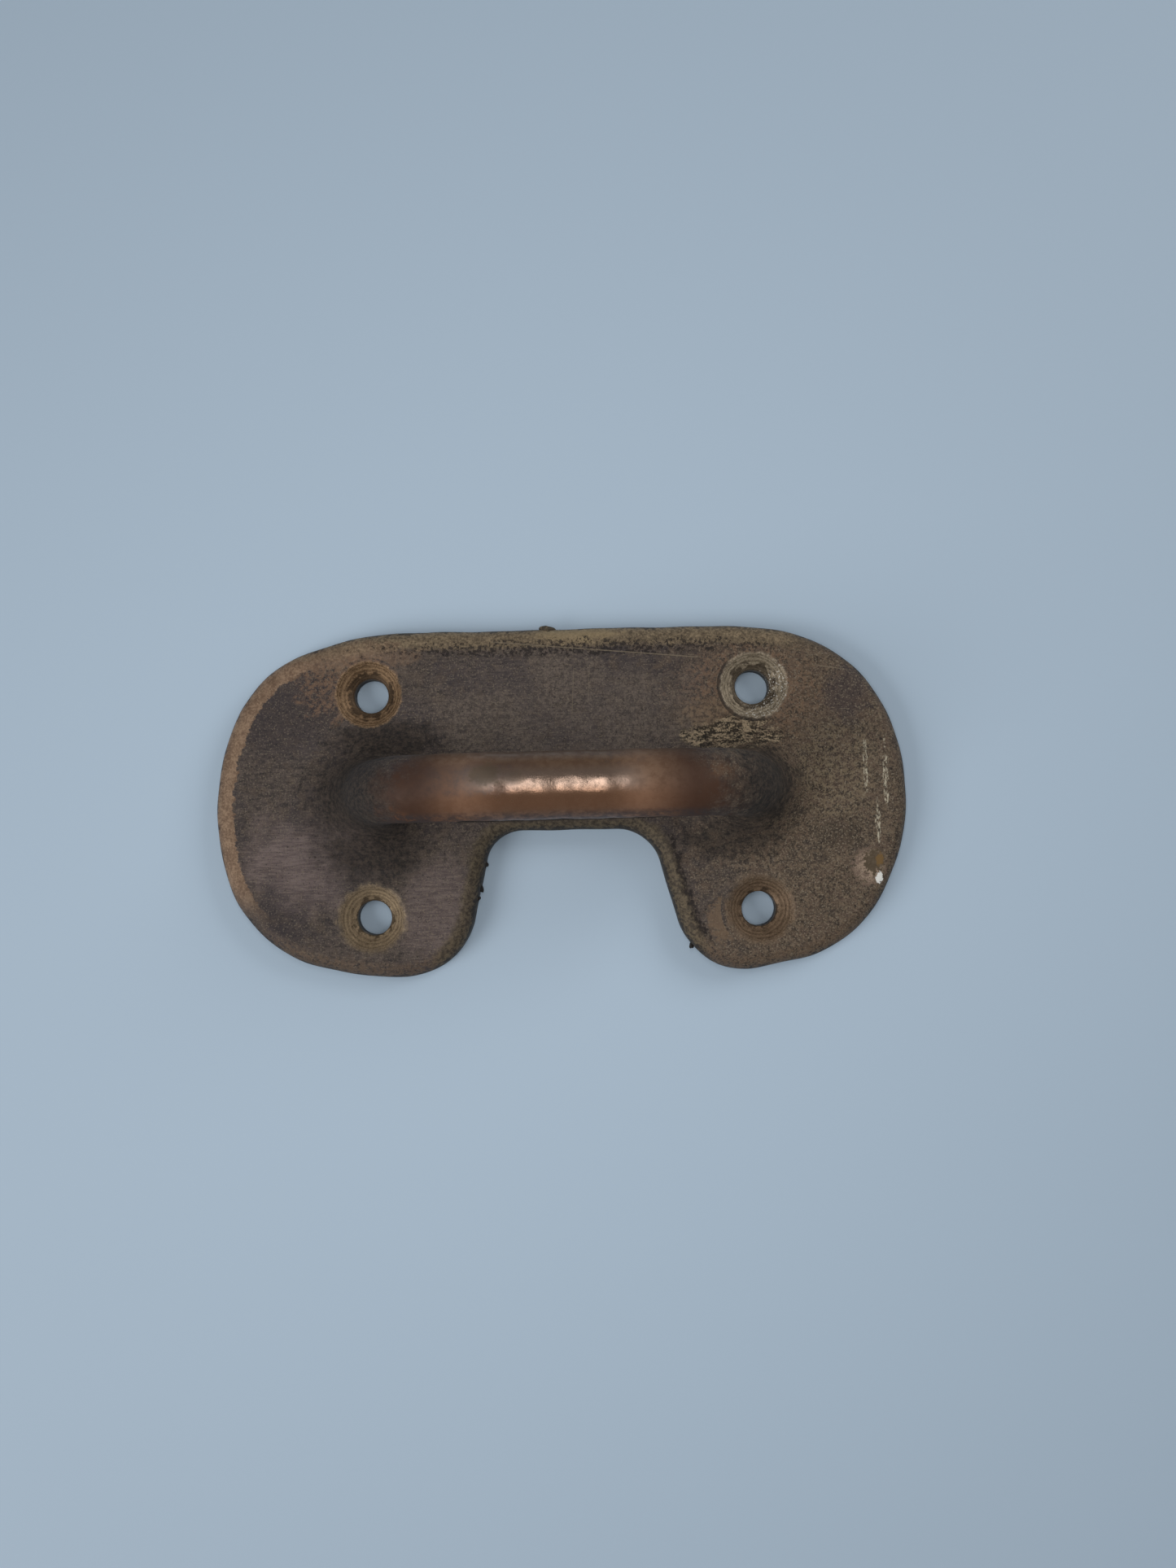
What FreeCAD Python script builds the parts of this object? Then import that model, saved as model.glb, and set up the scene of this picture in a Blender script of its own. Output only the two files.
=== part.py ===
"""Fixed pull handle: one bronze casting, a round bar standing on a notched back plate.

The plate lies on the plane z = 0 with its back, the long side runs along X, the notch opens
towards -Y and the bar stands out along +Z. All sizes are millimetres.
"""
import FreeCAD, Part
import math
import os

import Sketcher

DIMENSIONS = [
    # outline of the back plate
    ("plate_length", 116),
    ("plate_height", 58),
    ("plate_thickness", 5.5),
    ("rim_round", 2.7),
    ("back_edge_round", 0.5),
    # the size that the outline below is drawn for: on a longer or higher plate its bows and
    # toes stretch in proportion, and the sizes of the cut-out and of the grip stay
    ("drawn_length", 116),
    ("drawn_height", 58),
    # straight part of the upper edge, to either side of the middle, and the shoulders beside it
    ("top_edge_left", 25),
    ("top_edge_right", 27),
    ("left_shoulder_radius", 52.2),
    ("right_shoulder_radius", 49.9),
    # the two bowed ends, with their upper corners and lower heels
    ("left_side_radius", 38.3),
    ("left_side_drop", 1),
    ("left_corner_radius", 20),
    ("left_heel_radius", 22.5),
    ("right_side_radius", 34.8),
    ("right_side_rise", 0.3),
    ("right_corner_radius", 24.5),
    ("right_heel_radius", 20),
    # the lower edge on both sides of the cut-out, and the rounded toes it ends in
    ("left_foot_radius", 49.9),
    ("left_toe_x", 26.9),
    ("left_toe_radius", 12),
    ("right_foot_rise", 10.9),
    ("right_toe_x", 30.1),
    ("right_toe_radius", 11.4),
    # cut-out in the lower long edge: its straight inner edge lies below the middle of the plate
    ("notch_edge_drop", 5),
    ("notch_left_corner_x", 6.9),
    ("notch_right_corner_x", 9.2),
    ("left_throat_radius", 6.2),
    ("right_throat_radius", 7.3),
    # the grip: a round bar on two legs that lean inwards and swell towards the plate
    ("bar_diameter", 10.3),
    ("bar_axis_height", 25.5),
    ("bar_axis_y", 1.4),
    ("bend_radius", 12),
    ("leg_lean", 16),
    ("leg_spacing", 66),
    ("leg_foot_diameter", 16),
    ("root_flare", 7.5),
    # the cast features sit this far to the right of the middle of the outline
    ("casting_offset_x", 0.4),
    # four holes for countersunk wood screws
    ("screw_hole_diameter", 5.8),
    ("countersink_diameter", 11),
    ("countersink_angle", 90),
    ("countersink_clearance", 1.2),
    ("screw_spacing_x", 64.5),
    ("screw_spacing_y", 37.4),
    ("screw_offset_y", 0.3),
]

doc = FreeCAD.newDocument("PullHandle")
sizes = doc.addObject("Spreadsheet::Sheet", "sizes")
for row, (alias, value) in enumerate(DIMENSIONS, start=1):
    sizes.set(f"A{row}", alias)
    sizes.set(f"B{row}", str(value))
    sizes.setAlias(f"B{row}", alias)
doc.recompute()

casting = doc.addObject("PartDesign::Body", "handle_casting")
casting.Label = "handle_casting"


def origin_plane(role):
    """The body's own origin plane with this role."""
    return next(plane for plane in casting.Origin.OriginFeatures if plane.Role == role)


def sketch_on(name, role):
    """A new sketch of the body, lying on one of its origin planes."""
    sketch = casting.newObject("Sketcher::SketchObject", name)
    sketch.AttachmentSupport = [(origin_plane(role), "")]
    sketch.MapMode = "FlatFace"
    return sketch


def drive(sketch, constraint, expression):
    """Add a constraint and bind its value to an expression of the spreadsheet."""
    index = sketch.addConstraint(constraint)
    sketch.setExpression(f"Constraints[{index}]", expression)


def add_arc(sketch, x, y, radius, start, end):
    """A circular arc about (x, y), counter-clockwise between two angles in degrees."""
    circle = Part.Circle(FreeCAD.Vector(x, y, 0), FreeCAD.Vector(0, 0, 1), radius)
    return sketch.addGeometry(Part.ArcOfCircle(circle, math.radians(start), math.radians(end)))


def add_line(sketch, x1, y1, x2, y2):
    """A straight line between two points."""
    ends = FreeCAD.Vector(x1, y1, 0), FreeCAD.Vector(x2, y2, 0)
    return sketch.addGeometry(Part.LineSegment(*ends))


START, END, CENTRE = 1, 2, 3
ORIGIN = -1, 1

# Outline of the plate. Both ends are bows of several radii: a flat shoulder, a tight corner,
# the side, a tight corner and a flat shoulder again. The two toes beside the notch differ: the
# left one has an upright inner wall, the right one a slanted wall and a rising lower edge.
outline = sketch_on("plate_outline", "XY_Plane")
top = add_line(outline, 27, 29, -25, 29)
left_shoulder = add_arc(outline, -25, -23, 52, 90, 109)
left_corner = add_arc(outline, -35.4, 7.3, 20, 109, 151)
left_side = add_arc(outline, -19.5, -1, 38.5, 151, 194)
left_heel = add_arc(outline, -35, -4.9, 22.5, 194, 252)
left_foot = add_arc(outline, -26.9, 21, 50, 252, 270)
left_toe = add_arc(outline, -26.9, -17, 12, 270, 347)
left_wall = add_line(outline, -15.2, -19.6, -12.9, -9.8)
left_throat = add_arc(outline, -6.9, -11.2, 6.2, 90, 167)
notch_edge = add_line(outline, -6.9, -5, 9.2, -5)
right_throat = add_arc(outline, 9.2, -12.3, 7.3, 16, 90)
right_wall = add_line(outline, 16.2, -10.3, 19, -20.6)
right_toe = add_arc(outline, 30, -17.6, 11.4, 196, 281)
right_foot = add_line(outline, 32.2, -28.8, 39.4, -27.4)
right_heel = add_arc(outline, 35.6, -7.8, 20, 281, 327)
right_side = add_arc(outline, 23, 0.3, 35, -33, 16)
right_corner = add_arc(outline, 32.6, 3.3, 25, 16, 77)
right_shoulder = add_arc(outline, 27, -21, 50, 77, 90)

# walking round counter-clockwise; the two throats curve the other way
chain = [
    (top, START, END), (left_shoulder, START, END), (left_corner, START, END),
    (left_side, START, END), (left_heel, START, END), (left_foot, START, END),
    (left_toe, START, END), (left_wall, START, END), (left_throat, END, START),
    (notch_edge, START, END), (right_throat, END, START), (right_wall, START, END),
    (right_toe, START, END), (right_foot, START, END), (right_heel, START, END),
    (right_side, START, END), (right_corner, START, END), (right_shoulder, START, END),
]
for (edge, _, leaves), (following, enters, _) in zip(chain, chain[1:] + chain[:1]):
    outline.addConstraint(Sketcher.Constraint("Tangent", edge, leaves, following, enters))

for edge in (top, notch_edge):
    outline.addConstraint(Sketcher.Constraint("Horizontal", edge))

STRETCH_X = "sizes.plate_length / sizes.drawn_length"
STRETCH_Y = "sizes.plate_height / sizes.drawn_height"
RADII = [
    (left_shoulder, 52.2, f"sizes.left_shoulder_radius * {STRETCH_Y}"),
    (left_corner, 20, f"sizes.left_corner_radius * {STRETCH_Y}"),
    (left_side, 38.3, f"sizes.left_side_radius * {STRETCH_Y}"),
    (left_heel, 22.5, f"sizes.left_heel_radius * {STRETCH_Y}"),
    (left_foot, 49.9, f"sizes.left_foot_radius * {STRETCH_Y}"),
    (left_toe, 12, f"sizes.left_toe_radius * {STRETCH_X}"),
    (left_throat, 6.2, f"sizes.left_throat_radius * {STRETCH_X}"),
    (right_throat, 7.3, f"sizes.right_throat_radius * {STRETCH_X}"),
    (right_toe, 11.4, f"sizes.right_toe_radius * {STRETCH_X}"),
    (right_heel, 20, f"sizes.right_heel_radius * {STRETCH_Y}"),
    (right_side, 34.8, f"sizes.right_side_radius * {STRETCH_Y}"),
    (right_corner, 24.5, f"sizes.right_corner_radius * {STRETCH_Y}"),
    (right_shoulder, 49.9, f"sizes.right_shoulder_radius * {STRETCH_Y}"),
]
for arc, radius, formula in RADII:
    drive(outline, Sketcher.Constraint("Radius", arc, radius), formula)

# the bows touch both ends of the length, the throats sit at the corners of the cut-out
PLACES_ACROSS = [
    (left_shoulder, -25, f"-sizes.top_edge_left * {STRETCH_X}"),
    (left_side, -19.7,
     f"sizes.left_side_radius * {STRETCH_Y} - sizes.plate_length / 2"),
    (left_toe, -26.9, f"-sizes.left_toe_x * {STRETCH_X}"),
    (left_foot, -26.9, f"-sizes.left_toe_x * {STRETCH_X}"),
    (left_throat, -6.9, "-sizes.notch_left_corner_x"),
    (right_throat, 9.2, "sizes.notch_right_corner_x"),
    (right_toe, 30.1, f"sizes.right_toe_x * {STRETCH_X}"),
    (right_side, 23.2,
     f"sizes.plate_length / 2 - sizes.right_side_radius * {STRETCH_Y}"),
    (right_shoulder, 27, f"sizes.top_edge_right * {STRETCH_X}"),
]
for arc, x, formula in PLACES_ACROSS:
    drive(outline, Sketcher.Constraint("DistanceX", *ORIGIN, arc, CENTRE, x), formula)

# the feet touch the lower end of the height, the straight part of the top its upper end
PLACES_UP = [
    (left_side, CENTRE, -1, f"-sizes.left_side_drop * {STRETCH_Y}"),
    (left_foot, CENTRE, 20.9,
     f"sizes.left_foot_radius * {STRETCH_Y} - sizes.plate_height / 2"),
    (notch_edge, START, -5, "-sizes.notch_edge_drop"),
    (right_toe, CENTRE, -17.6,
     f"sizes.right_toe_radius * {STRETCH_X} - sizes.plate_height / 2"),
    (right_side, CENTRE, 0.3, f"sizes.right_side_rise * {STRETCH_Y}"),
    (top, START, 29, "sizes.plate_height / 2"),
]
for edge, point, y, formula in PLACES_UP:
    drive(outline, Sketcher.Constraint("DistanceY", *ORIGIN, edge, point, y), formula)
drive(outline, Sketcher.Constraint("Angle", right_foot, math.radians(10.9)),
      "sizes.right_foot_rise")

plate = casting.newObject("PartDesign::Pad", "plate")
plate.Profile = outline
plate.setExpression("Length", "sizes.plate_thickness")
doc.recompute()


def edges_at(feature, height):
    """Names of the edges of a feature that lie wholly in one level."""
    names = []
    for number, edge in enumerate(feature.Shape.Edges, start=1):
        box = edge.BoundBox
        if abs(box.ZMin - height) < 1e-4 and abs(box.ZMax - height) < 1e-4:
            names.append(f"Edge{number}")
    return names


# the front rim is rolled over all round, the back edge is only eased
rim = casting.newObject("PartDesign::Fillet", "rim_round")
rim.Base = (plate, edges_at(plate, sizes.plate_thickness))
rim.setExpression("Radius", "sizes.rim_round")
doc.recompute()
back_edge = casting.newObject("PartDesign::Fillet", "back_edge_round")
back_edge.Base = (rim, edges_at(rim, 0))
back_edge.setExpression("Radius", "sizes.back_edge_round")
doc.recompute()

# Centre line of the grip: up one leaning leg, over the bend, along, and down the other leg.
# The legs start half way down in the plate, where leg_spacing is measured.
LEFT_FOOT_X = "sizes.casting_offset_x - sizes.leg_spacing / 2"
RIGHT_FOOT_X = "sizes.casting_offset_x + sizes.leg_spacing / 2"
FOOT_Z = "sizes.plate_thickness / 2"
LEG_TOP_Z = "(sizes.bar_axis_height - sizes.bend_radius * (1 - sin(sizes.leg_lean)))"
LEG_RISE = f"({LEG_TOP_Z} - {FOOT_Z})"
LEG_LENGTH = f"{LEG_RISE} / cos(sizes.leg_lean)"

bar_path = sketch_on("bar_path", "XZ_Plane")
bar_path.setExpression(".AttachmentOffset.Base.z", "-sizes.bar_axis_y")
left_leg = add_line(bar_path, -32.6, 2.75, -28.6, 16.8)
left_bend = add_arc(bar_path, -17, 13.5, 12, 90, 164)
grip = add_line(bar_path, -17, 25.5, 17.8, 25.5)
right_bend = add_arc(bar_path, 17.8, 13.5, 12, 16, 90)
right_leg = add_line(bar_path, 29.4, 16.8, 33.4, 2.75)
for joint in [(left_leg, END, left_bend, END), (left_bend, START, grip, START),
              (grip, END, right_bend, END), (right_bend, START, right_leg, START)]:
    bar_path.addConstraint(Sketcher.Constraint("Tangent", *joint))
bar_path.addConstraint(Sketcher.Constraint("Horizontal", grip))
bar_path.addConstraint(Sketcher.Constraint("Equal", left_bend, right_bend))
drive(bar_path, Sketcher.Constraint("Radius", left_bend, 12), "sizes.bend_radius")
drive(bar_path, Sketcher.Constraint("Angle", left_leg, math.radians(74)),
      "90 - sizes.leg_lean")
drive(bar_path, Sketcher.Constraint("Angle", right_leg, math.radians(-74)),
      "sizes.leg_lean - 90")
drive(bar_path, Sketcher.Constraint("DistanceY", *ORIGIN, grip, START, 25.5),
      "sizes.bar_axis_height")
drive(bar_path, Sketcher.Constraint("DistanceY", *ORIGIN, left_leg, START, 2.75), FOOT_Z)
drive(bar_path, Sketcher.Constraint("DistanceY", *ORIGIN, right_leg, END, 2.75), FOOT_Z)
drive(bar_path, Sketcher.Constraint("DistanceX", *ORIGIN, left_leg, START, -32.6),
      LEFT_FOOT_X)
drive(bar_path, Sketcher.Constraint("DistanceX", *ORIGIN, right_leg, END, 33.4),
      RIGHT_FOOT_X)

# the round bar itself runs from the top of one leg to the top of the other
bar_section = sketch_on("bar_section", "XY_Plane")
bar_section.setExpression(
    ".AttachmentOffset",
    f"placement(vector({LEFT_FOOT_X} + {LEG_RISE} * tan(sizes.leg_lean);"
    f" sizes.bar_axis_y; {FOOT_Z} + {LEG_RISE}); rotation(vector(0; 1; 0); sizes.leg_lean))")
ring = bar_section.addGeometry(
    Part.Circle(FreeCAD.Vector(0, 0, 0), FreeCAD.Vector(0, 0, 1), 5.15))
bar_section.addConstraint(Sketcher.Constraint("Coincident", ring, CENTRE, *ORIGIN))
drive(bar_section, Sketcher.Constraint("Radius", ring, 5.15), "sizes.bar_diameter / 2")


def leg(name, side, foot_x):
    """One leg: turned about its own axis, as thick as the bar on top and swelling downwards."""
    profile = sketch_on(name + "_profile", "XZ_Plane")
    profile.setExpression(
        ".AttachmentOffset",
        f"placement(vector({foot_x}; {FOOT_Z}; -sizes.bar_axis_y);"
        f" rotation(vector(0; 0; 1); {side} * sizes.leg_lean))")
    bottom = add_line(profile, 0, 0, 8, 0)
    swell = add_arc(profile, 43.5, 14.6, 38.3, 180, 202)
    top = add_line(profile, 5.15, 14.6, 0, 14.6)
    axis = add_line(profile, 0, 14.6, 0, 0)
    for joint in [(bottom, END, swell, END), (swell, START, top, START),
                  (top, END, axis, START), (axis, END, bottom, START)]:
        profile.addConstraint(Sketcher.Constraint("Coincident", *joint))
    profile.addConstraint(Sketcher.Constraint("Coincident", bottom, START, *ORIGIN))
    profile.addConstraint(Sketcher.Constraint("Horizontal", bottom))
    profile.addConstraint(Sketcher.Constraint("Horizontal", top))
    profile.addConstraint(Sketcher.Constraint("Vertical", axis))
    drive(profile, Sketcher.Constraint("DistanceX", bottom, START, bottom, END, 8),
          "sizes.leg_foot_diameter / 2")
    drive(profile, Sketcher.Constraint("DistanceX", top, END, top, START, 5.15),
          "sizes.bar_diameter / 2")
    drive(profile, Sketcher.Constraint("DistanceY", axis, END, axis, START, 14.6), LEG_LENGTH)
    drive(profile, Sketcher.Constraint("DistanceY", *ORIGIN, swell, CENTRE, 14.6), LEG_LENGTH)
    turned = casting.newObject("PartDesign::Revolution", name)
    turned.Profile = profile
    turned.ReferenceAxis = (profile, ["V_Axis"])
    doc.recompute()
    return turned


leg("left_leg", -1, LEFT_FOOT_X)
legs = leg("right_leg", 1, RIGHT_FOOT_X)

# each leg spreads into the plate with a wide cove, so grip and plate are one casting; the cove
# is never wider than the leg above the plate has room for
ROOT_LIMIT = f"0.8 * ({LEG_TOP_Z} - sizes.plate_thickness)"
feet = []
for name in edges_at(legs, sizes.plate_thickness):
    beside = legs.Shape.ancestorsOfType(legs.Shape.getElement(name), Part.Face)
    if max(face.BoundBox.ZMax for face in beside) > sizes.plate_thickness + 1:
        feet.append(name)
roots = casting.newObject("PartDesign::Fillet", "root_flares")
roots.Base = (legs, feet)
roots.setExpression("Radius", f"min(sizes.root_flare; {ROOT_LIMIT})")
doc.recompute()

bar = casting.newObject("PartDesign::AdditivePipe", "bar")
bar.Profile = bar_section
bar.Spine = (bar_path, ["Edge2", "Edge3", "Edge4"])
doc.recompute()

# Four countersunk screw holes on a rectangle, cut from the front face.
screw_places = sketch_on("screw_places", "XY_Plane")
screw_places.setExpression(".AttachmentOffset.Base.z",
                           "sizes.plate_thickness + sizes.countersink_clearance")
for side_x in (-1, 1):
    for side_y in (-1, 1):
        place = FreeCAD.Vector(0.4 + side_x * 32.25, -0.3 + side_y * 18.7, 0)
        hole = screw_places.addGeometry(Part.Circle(place, FreeCAD.Vector(0, 0, 1), 2.9))
        drive(screw_places, Sketcher.Constraint("Radius", hole, 2.9),
              "sizes.screw_hole_diameter / 2")
        drive(screw_places, Sketcher.Constraint("DistanceX", *ORIGIN, hole, CENTRE, place.x),
              f"sizes.casting_offset_x + {side_x} * sizes.screw_spacing_x / 2")
        drive(screw_places, Sketcher.Constraint("DistanceY", *ORIGIN, hole, CENTRE, place.y),
              f"{side_y} * sizes.screw_spacing_y / 2 - sizes.screw_offset_y")
doc.recompute()

SINK_MOUTH = ("sizes.countersink_diameter + 2 * sizes.countersink_clearance"
              " * tan(sizes.countersink_angle / 2)")
screw_holes = casting.newObject("PartDesign::Hole", "screw_holes")
screw_holes.Profile = screw_places
doc.recompute()
screw_holes.DepthType = "ThroughAll"
screw_holes.HoleCutType = "Countersink"
screw_holes.HoleCutCustomValues = True
screw_holes.setExpression("Diameter", "sizes.screw_hole_diameter")
screw_holes.setExpression("HoleCutDiameter", SINK_MOUTH)
screw_holes.setExpression("HoleCutCountersinkAngle", "sizes.countersink_angle")
doc.recompute()

casting.Tip = screw_holes
doc.recompute()

for thing in doc.Objects:
    if {"Invalid", "Error"} & set(thing.State):
        raise RuntimeError(f"{thing.Label} did not build")
solid = casting.Shape
if solid.isNull() or not solid.isValid() or len(solid.Solids) != 1:
    raise RuntimeError("handle_casting is not one sound solid")

os.makedirs("parts", exist_ok=True)
solid.exportStep("parts/handle_casting.step")
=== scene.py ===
"""Cast bronze pull handle lying on its back: notched plate, four countersinks and a round bar.

Metres, in the frame of the CAD casting: back of the plate on z = 0, bar along X, notch towards -Y.
Shapes and places are worked out in millimetres and divided by a thousand when a mesh is made.
"""

import math

import bpy
import numpy as np
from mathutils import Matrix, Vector


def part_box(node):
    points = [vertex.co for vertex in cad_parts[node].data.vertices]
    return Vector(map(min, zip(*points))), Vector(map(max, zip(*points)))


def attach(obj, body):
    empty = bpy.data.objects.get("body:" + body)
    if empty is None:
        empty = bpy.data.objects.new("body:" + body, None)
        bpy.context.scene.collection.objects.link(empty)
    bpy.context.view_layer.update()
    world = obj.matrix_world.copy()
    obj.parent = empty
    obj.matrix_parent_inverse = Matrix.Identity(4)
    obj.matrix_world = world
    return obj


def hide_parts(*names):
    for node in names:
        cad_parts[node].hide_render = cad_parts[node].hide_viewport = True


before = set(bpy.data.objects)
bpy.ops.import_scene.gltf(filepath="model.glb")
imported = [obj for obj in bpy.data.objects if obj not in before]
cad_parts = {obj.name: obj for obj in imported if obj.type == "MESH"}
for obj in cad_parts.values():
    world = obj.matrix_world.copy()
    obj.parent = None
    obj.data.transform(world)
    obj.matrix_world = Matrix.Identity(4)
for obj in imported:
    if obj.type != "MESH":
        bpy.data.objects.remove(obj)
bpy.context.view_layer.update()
casting_low, casting_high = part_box("handle_casting")

# ------------------------------------------------------------------------------ back plate
# The back plate is the flat part of the casting, about 5.5 mm of gunmetal with a rolled front
# rim. It was poured in one go with the grip, filed smooth, and has darkened to a brown skin
# that is rubbed to tan along its rim and grainy on its right third.
PLATE_THICKNESS = 5.5
RIM_ROUND = 2.7
BACK_EDGE_ROUND = 0.5
HALF_LENGTH = 1000 * (casting_high[0] - casting_low[0]) / 2
HALF_HEIGHT = 1000 * (casting_high[1] - casting_low[1]) / 2

# the bows of the outline in walking order, the metal on the left hand:
# radius, centre across and up, angle where the bow starts and where it ends
OUTLINE_BOWS = [
    (52.2, -25, HALF_HEIGHT - 52.2, 90, 110.3),
    (20, -36.2, 7, 110.3, 154.1),
    (38.3, 38.3 - HALF_LENGTH, -1, 154.1, 195.8),
    (22.5, -34.9, -5.3, 195.8, 253),
    (49.9, -26.9, 49.9 - HALF_HEIGHT, 253, 270),
    (12, -26.9, 12 - HALF_HEIGHT, 270, 347.1),
    (6.2, -6.9, -11.2, 167.1, 90),
    (7.3, 9.2, -12.3, 90, 15.6),
    (11.4, 30.1, 11.4 - HALF_HEIGHT, 195.6, 280.9),
    (20, 35.6, -7.8, 280.9, 326.9),
    (34.8, HALF_LENGTH - 34.8, 0.3, -33.1, 19.9),
    (24.5, 32.9, 3.8, 19.9, 76.6),
    (49.9, 27, HALF_HEIGHT - 49.9, 76.6, 90),
]
SCREW_PLACES = {
    "upper_left": (-31.85, 18.4), "upper_right": (32.65, 18.4),
    "lower_left": (-31.85, -19), "lower_right": (32.65, -19),
}
# the oval feet of the grip's two roots: middle along X and half length
FEET = {"left": (-30.2, 13.7), "right": (31.0, 13.7)}
FOOT_HALF_WIDTH = 12.5
COVE_SIZE = 15
BAR_AXIS_Y = 1.4


def plate_outline(steps):
    """The edge of the plate: bows and the straights between them, walked at an even pace.

    Each bow is centre + radius * (cos angle, sin angle). The walk is averaged over half a
    millimetre, and the outward direction is the walking direction turned right.
    """
    corners = []
    for radius, across, up, start, end in OUTLINE_BOWS:
        angle = np.radians(np.linspace(start, end, 60))
        corners.append(np.stack([across + radius * np.cos(angle), up + radius * np.sin(angle)], 1))
    walk = np.concatenate(corners)
    walk = np.concatenate([walk, walk[:1]])
    length = np.concatenate([[0], np.cumsum(np.linalg.norm(np.diff(walk, axis=0), axis=1))])
    pace = np.linspace(0, length[-1], steps, endpoint=False)
    even = np.stack([np.interp(pace, length, walk[:, axis]) for axis in (0, 1)], 1)
    near = range(-4, 5)
    even = sum(np.roll(even, shift, axis=0) for shift in near) / len(near)
    turn = 2 * np.pi * pace / length[-1]
    ahead = np.roll(even, -1, axis=0) - np.roll(even, 1, axis=0)
    ahead /= np.linalg.norm(ahead, axis=1, keepdims=True)
    outward = np.stack([ahead[:, 1], -ahead[:, 0]], 1)
    filed = 0.05 * np.sin(9 * turn + 1) + 0.04 * np.sin(23 * turn + 4) + 0.03 * np.sin(41 * turn)
    return even + outward * filed[:, None], outward


def hand_filed(x, y):
    """Height of the unevenness of the flat face: a sum of long sine waves in several directions."""
    waves = [(0.31, 0.12, 0.4), (-0.17, 0.38, 1.9), (0.52, -0.33, 2.7), (0.11, 0.71, 5.1),
             (0.83, 0.42, 0.9), (-0.64, 0.77, 3.6)]
    return sum(0.012 * np.sin(a * x + b * y + c) for a, b, c in waves)


def reach_from_roots(x, y):
    """For each root, the distance from its middle as a share of its oval foot."""
    return [np.hypot((x - middle) / half_length, (y - BAR_AXIS_Y) / FOOT_HALF_WIDTH)
            for middle, half_length in FEET.values()]


def under_the_roots(x, y):
    """How deep the face is let in below the roots of the grip: half a millimetre, out of sight."""
    return sum(0.5 * np.clip((0.95 - reach) / 0.1, 0, 1) for reach in reach_from_roots(x, y))


def cove_height(x, y):
    """Rise of the roots' coves above the face: inwards distance squared over the cove's size."""
    return sum((np.clip(1 - reach, 0, 0.3) * FOOT_HALF_WIDTH) ** 2 / COVE_SIZE
               for reach in reach_from_roots(x, y))


def face_height(x, y):
    """Height of the front face above the back of the plate."""
    return PLATE_THICKNESS + hand_filed(x, y)


def add_piece(name, points, faces, finish):
    """A mesh object at the origin from points in millimetres and faces of four corners."""
    mesh = bpy.data.meshes.new(name)
    mesh.vertices.add(len(points))
    mesh.vertices.foreach_set("co", (points / 1000).astype(np.float32).ravel())
    mesh.loops.add(faces.size)
    mesh.loops.foreach_set("vertex_index", faces.astype(np.int32).ravel())
    mesh.polygons.add(len(faces))
    mesh.polygons.foreach_set("loop_start", np.arange(0, faces.size, 4, dtype=np.int32))
    mesh.polygons.foreach_set("use_smooth", np.full(len(faces), True))
    mesh.update(calc_edges=True)
    mesh.validate()
    mesh.materials.append(finish)
    piece = bpy.data.objects.new(name, mesh)
    bpy.context.scene.collection.objects.link(piece)
    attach(piece, "root")
    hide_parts("handle_casting")
    return piece


def grid_faces(index):
    """Faces of four corners between neighbouring rows and columns of a grid of point numbers."""
    corners = [index[:-1, :-1], index[:-1, 1:], index[1:, 1:], index[1:, :-1]]
    return np.stack(corners, -1).reshape(-1, 4)


# The face is one patch of four sides bent round the notch: the outer side runs from the left
# heel over the top to the right heel, the inner side follows the notch, the feet are the ends.
EDGE_STEPS = 6000
ALONG, ACROSS = 400, 64
edge, edge_out = plate_outline(EDGE_STEPS)


def nearest_step(x, y):
    """The step of the walk round the plate that passes closest to a point."""
    return int(np.argmin(np.hypot(edge[:, 0] - x, edge[:, 1] - y)))


def stretch_of_edge(start, end, count):
    """Steps of the walk, evenly spaced, from one corner of the patch up to the next one."""
    if end < start:
        end += EDGE_STEPS
    return np.round(np.linspace(start, end, count, endpoint=False)).astype(int) % EDGE_STEPS


left_heel = nearest_step(-50.8, -21.2)
left_toe = nearest_step(-18.4, -25.5)
right_toe = nearest_step(23.5, -27)
right_heel = nearest_step(47.1, -24.2)
loop = np.concatenate([
    stretch_of_edge(left_heel, left_toe, ACROSS),
    stretch_of_edge(left_toe, right_toe, ALONG),
    stretch_of_edge(right_toe, right_heel, ACROSS),
    stretch_of_edge(right_heel, left_heel, ALONG),
])


def patch(inset):
    """A grid over the plate whose border is the edge moved inwards.

    The grid is the blend of its four sides: outer and inner side by the share across, both
    ends by the share along, less the blend of the four corners.
    """
    border = edge[loop] - inset * edge_out[loop]
    corner = np.cumsum([0, ACROSS, ALONG, ACROSS, ALONG])
    ring = np.concatenate([border, border[:1]])
    left, inner, right, outer = (ring[a:b + 1] for a, b in zip(corner[:-1], corner[1:]))
    right, outer = right[::-1], outer[::-1]
    u = np.linspace(0, 1, ALONG + 1)[:, None, None]
    v = np.linspace(0, 1, ACROSS + 1)[None, :, None]
    sides = (1 - v) * outer[:, None] + v * inner[:, None] + (1 - u) * left[None] + u * right[None]
    ends = (1 - u) * ((1 - v) * outer[0] + v * inner[0]) + u * ((1 - v) * outer[-1] + v * inner[-1])
    return sides - ends


def rim_profile():
    """The rim from the face to the back as insets and heights: two quarter rounds and a wall."""
    front = np.radians(np.linspace(0, 90, 11))[1:]
    back = np.radians(np.linspace(0, 90, 5))
    wall = [2.0, 1.2]
    inset = np.concatenate([
        RIM_ROUND * (1 - np.sin(front)), [0, 0], BACK_EDGE_ROUND * (1 - np.cos(back))])
    height = np.concatenate([
        PLATE_THICKNESS - RIM_ROUND * (1 - np.cos(front)), wall,
        BACK_EDGE_ROUND * (1 - np.sin(back))])
    return inset[:-1], height[:-1]


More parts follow.
